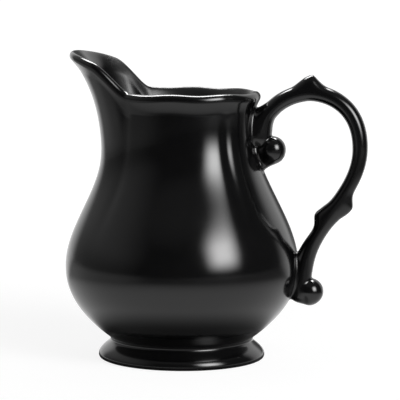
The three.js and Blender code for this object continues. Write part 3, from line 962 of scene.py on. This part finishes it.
def black_glaze():
    """Black glaze with a faint mottle, haze and orange peel, duller where the mesh says so."""
    material, graph, shader = new_material("black_glaze")
    mottle = graph.noise(MOTTLE_SCALE, MOTTLE_DETAIL)
    graph.join(graph.tint(mottle, GLAZE_DARK, GLAZE_LIGHT), shader["Base Color"])
    haze = graph.noise(HAZE_SCALE, HAZE_DETAIL)
    rough = graph.spread(haze, NOISE_LOW, NOISE_HIGH, *GLAZE_ROUGHNESS, "LINEAR")
    dull = graph.nodes.new("ShaderNodeAttribute")
    dull.attribute_name = "dullness"
    duller = graph.math("MULTIPLY", dull.outputs["Fac"], GLAZE_DULLER)
    graph.join(graph.math("ADD", rough, duller), shader["Roughness"])
    peel = graph.noise(PEEL_SCALE, PEEL_DETAIL)
    graph.join(graph.relief(peel, PEEL_STRENGTH, PEEL_RELIEF), shader["Normal"])
    shader["IOR"].default_value = GLAZE_IOR
    return material


def bare_clay():
    material, graph, shader = new_material("bare_clay")
    grain = graph.noise(GRAIN_SCALE, GRAIN_DETAIL, GRAIN_ROUGHNESS)
    graph.join(graph.tint(grain, CLAY_DARK, CLAY_LIGHT), shader["Base Color"])
    rough = graph.spread(grain, NOISE_LOW, NOISE_HIGH, *CLAY_ROUGHNESS, "LINEAR")
    graph.join(rough, shader["Roughness"])
    graph.join(graph.relief(grain, GRAIN_STRENGTH, GRAIN_RELIEF), shader["Normal"])
    return material


# Stage: a pale table, studio light and the camera

axis_place = Vector((AXIS_X * MM, 0, 0))
to_camera = Vector((math.sin(CAMERA_YAW), -math.cos(CAMERA_YAW), 0))
to_right = Vector((math.cos(CAMERA_YAW), math.sin(CAMERA_YAW), 0))


def towards(bearing):
    """A level direction from the pitcher, at a bearing to the right of the camera."""
    turn = math.radians(bearing)
    return math.cos(turn) * to_camera + math.sin(turn) * to_right


def around(bearing, distance, height):
    return axis_place + distance * towards(bearing) + Vector((0, 0, height))


def sweep_share(graph, way):
    """One towards the pale walls behind the pitcher on both sides, little in the gap between them."""
    walls = graph.spread(graph.along(way, towards(SWEEP_BEARING)), SWEEP_EDGE, SWEEP_FULL, 0, 1)
    gap = graph.spread(graph.along(way, towards(GAP_BEARING)), GAP_EDGE, GAP_FULL, 1, GAP_LEVEL)
    return graph.math("MULTIPLY", walls, gap)


def table_white():
    """White to the camera; what reflects it sees a painted pool of light, a painted paler floor on the left
    and the sweep, all dimmed by painted shade round the foot.
    """
    material, graph, shader = new_material("table_white")
    shader["Base Color"].default_value = TABLE_GREY
    shader["Roughness"].default_value = TABLE_ROUGHNESS
    shader["Specular IOR Level"].default_value = 0
    shader["Emission Color"].default_value = WHITE
    place = graph.nodes.new("ShaderNodeTexCoord").outputs["Object"]
    away = graph.vector_math("LENGTH", "Value", place)
    way = graph.vector_math("NORMALIZE", "Vector", place)
    # A painted pool of light round the pitcher, seen only in reflections.
    painted_pool = graph.spread(away, PAINTED_POOL_NEAR, PAINTED_POOL_FAR, PAINTED_POOL_LEVEL, 0)
    # A painted paler floor on the left, seen only in reflections.
    leftward = graph.spread(graph.along(way, -to_right), SIDE_FLOOR_EDGE, SIDE_FLOOR_FULL, 0, 1)
    painted_side_glow = graph.spread(away, SIDE_FLOOR_NEAR, SIDE_FLOOR_FAR, PAINTED_SIDE_FLOOR_LEVEL, PAINTED_SIDE_FLOOR_FAR_LEVEL)
    painted_light = graph.most(painted_pool, sweep_share(graph, way), graph.math("MULTIPLY", leftward, painted_side_glow))
    # Painted shade round the foot darkens all the painted light near the pitcher in reflections.
    painted_light_and_shade = graph.math("MULTIPLY", painted_light, graph.spread(away, PAINTED_SHADE_NEAR, PAINTED_SHADE_FAR, 0, 1))
    rays = graph.nodes.new("ShaderNodeLightPath").outputs
    reflected = graph.most(rays["Is Glossy Ray"], rays["Is Transmission Ray"])
    # Camera rays see the table white; glossy rays see the painted light and painted shade.
    seen = graph.most(rays["Is Camera Ray"], graph.math("MULTIPLY", reflected, painted_light_and_shade))
    lift = graph.spread(away, PAINTED_SHADE_FAR, WHITE_FROM, TABLE_LIFT, 1)
    graph.join(graph.math("MULTIPLY", seen, lift), shader["Emission Strength"])
    return material


def make_table():
    mesh = bpy.data.meshes.new("table")
    corners = [(x * TABLE_REACH, y * TABLE_REACH, 0) for x, y in ((-1, -1), (1, -1), (1, 1), (-1, 1))]
    mesh.from_pydata(corners, [], [(0, 1, 2, 3)])
    mesh.materials.append(table_white())
    table = new_object("table", mesh)
    table.location = axis_place


def soft_lamp(name, place, size, radiance, core):
    """An area lamp that faces the pitcher, bright in its core and fading to its edges."""
    light = bpy.data.lights.new(name, "AREA")
    light.shape = "RECTANGLE"
    light.size, light.size_y = size
    # An area lamp of power P and area A has the radiance P / 4A.
    light.energy = 4 * light.size * light.size_y * radiance
    graph = Graph(light)
    across = graph.split(graph.nodes.new("ShaderNodeNewGeometry").outputs["Parametric"])
    shares = []
    for axis in "XY":
        off_middle = graph.math("ABSOLUTE", graph.math("SUBTRACT", across[axis], 0.5))
        shares.append(graph.spread(off_middle, core / 2, 0.5, 1, 0))
    graph.join(graph.math("MULTIPLY", *shares), graph.nodes["Emission"].inputs["Strength"])
    lamp = new_object(name, light)
    lamp.location = place
    aim = place - axis_place - Vector((0, 0, AIM_HEIGHT * MM))
    lamp.rotation_euler = aim.to_track_quat("Z", "Y").to_euler()
    lamp.visible_camera = False
    return lamp


def make_lights():
    """A softbox at the front right, and a lamp high behind that only shines on glossy edges."""
    soft_lamp("softbox", around(SOFTBOX_BEARING, SOFTBOX_DISTANCE, SOFTBOX_HEIGHT),
              SOFTBOX_SIZE, SOFTBOX_RADIANCE, SOFTBOX_CORE)
    back = soft_lamp("back_light", around(BACK_LIGHT_BEARING, BACK_LIGHT_DISTANCE, BACK_LIGHT_HEIGHT),
                     BACK_LIGHT_SIZE, BACK_LIGHT_RADIANCE, BACK_LIGHT_CORE)
    back.visible_diffuse = False
    back.visible_shadow = False


def make_world():
    """A dim studio: a pale wall on the left, a white backdrop behind, a faint ceiling and a dark front."""
    world = bpy.data.worlds.new("studio")
    bpy.context.scene.world = world
    graph = Graph(world)
    way = graph.nodes.new("ShaderNodeTexCoord").outputs["Generated"]
    height = graph.split(way)["Z"]
    wall = graph.spread(graph.along(way, towards(WALL_BEARING)), WALL_EDGE, WALL_FULL, 0, WALL_LEVEL)
    left = graph.math("MULTIPLY", wall, graph.spread(height, WALL_LOW, WALL_HIGH, WALL_LOW_SHARE, 1))
    ceiling = graph.spread(height, CEILING_FROM, CEILING_FULL, CEILING_DIM, CEILING_LEVEL)
    camera_ray = graph.nodes.new("ShaderNodeLightPath").outputs["Is Camera Ray"]
    background = graph.nodes["Background"].inputs
    background["Color"].default_value = WHITE
    graph.join(graph.most(left, sweep_share(graph, way), ceiling, camera_ray), background["Strength"])


def make_camera():
    """The camera, panned so that the body's axis falls on its column of the picture."""
    reach = CAMERA_DISTANCE * math.cos(CAMERA_PITCH) + (CAMERA_HEIGHT - AIM_HEIGHT) * math.sin(CAMERA_PITCH)
    focal = reach / MM_PER_PIXEL
    pan = math.atan((PICTURE_SIZE / 2 - AXIS_COLUMN) / focal)
    ahead = to_right * math.sin(pan) - to_camera * math.cos(pan)
    right = to_right * math.cos(pan) + to_camera * math.sin(pan)
    straight_up = Vector((0, 0, 1))
    forward = ahead * math.cos(CAMERA_PITCH) - straight_up * math.sin(CAMERA_PITCH)
    up = straight_up * math.cos(CAMERA_PITCH) + ahead * math.sin(CAMERA_PITCH)
    image_x = right * math.cos(CAMERA_ROLL) - up * math.sin(CAMERA_ROLL)
    image_y = up * math.cos(CAMERA_ROLL) + right * math.sin(CAMERA_ROLL)
    data = bpy.data.cameras.new("camera")
    data.sensor_width = SENSOR
    data.lens = SENSOR * focal / PICTURE_SIZE
    data.clip_start = CAMERA_NEAR * MM
    camera = new_object("camera", data)
    turn = Matrix((image_x, image_y, -forward)).transposed().to_4x4()
    place = to_camera * CAMERA_DISTANCE + Vector((0, 0, CAMERA_HEIGHT))
    camera.matrix_world = Matrix.Translation(axis_place + place * MM) @ turn
    bpy.context.scene.camera = camera


glaze = black_glaze()
vessel = make_vessel(glaze, bare_clay())
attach(vessel, "root")
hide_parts("body", "spout", "spout_slip", "foot_ring", "foot_slip")

handle = make_handle(glaze)
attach(handle, "root")
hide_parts("upper_scroll", "lower_scroll", "upper_knob", "lower_knob", "thumb_rest",
            "knuckle_slip", "upper_handle_slip", "lower_handle_slip")

make_table()
make_world()
make_lights()
make_camera()

bpy.context.scene.view_settings.view_transform = "Standard"
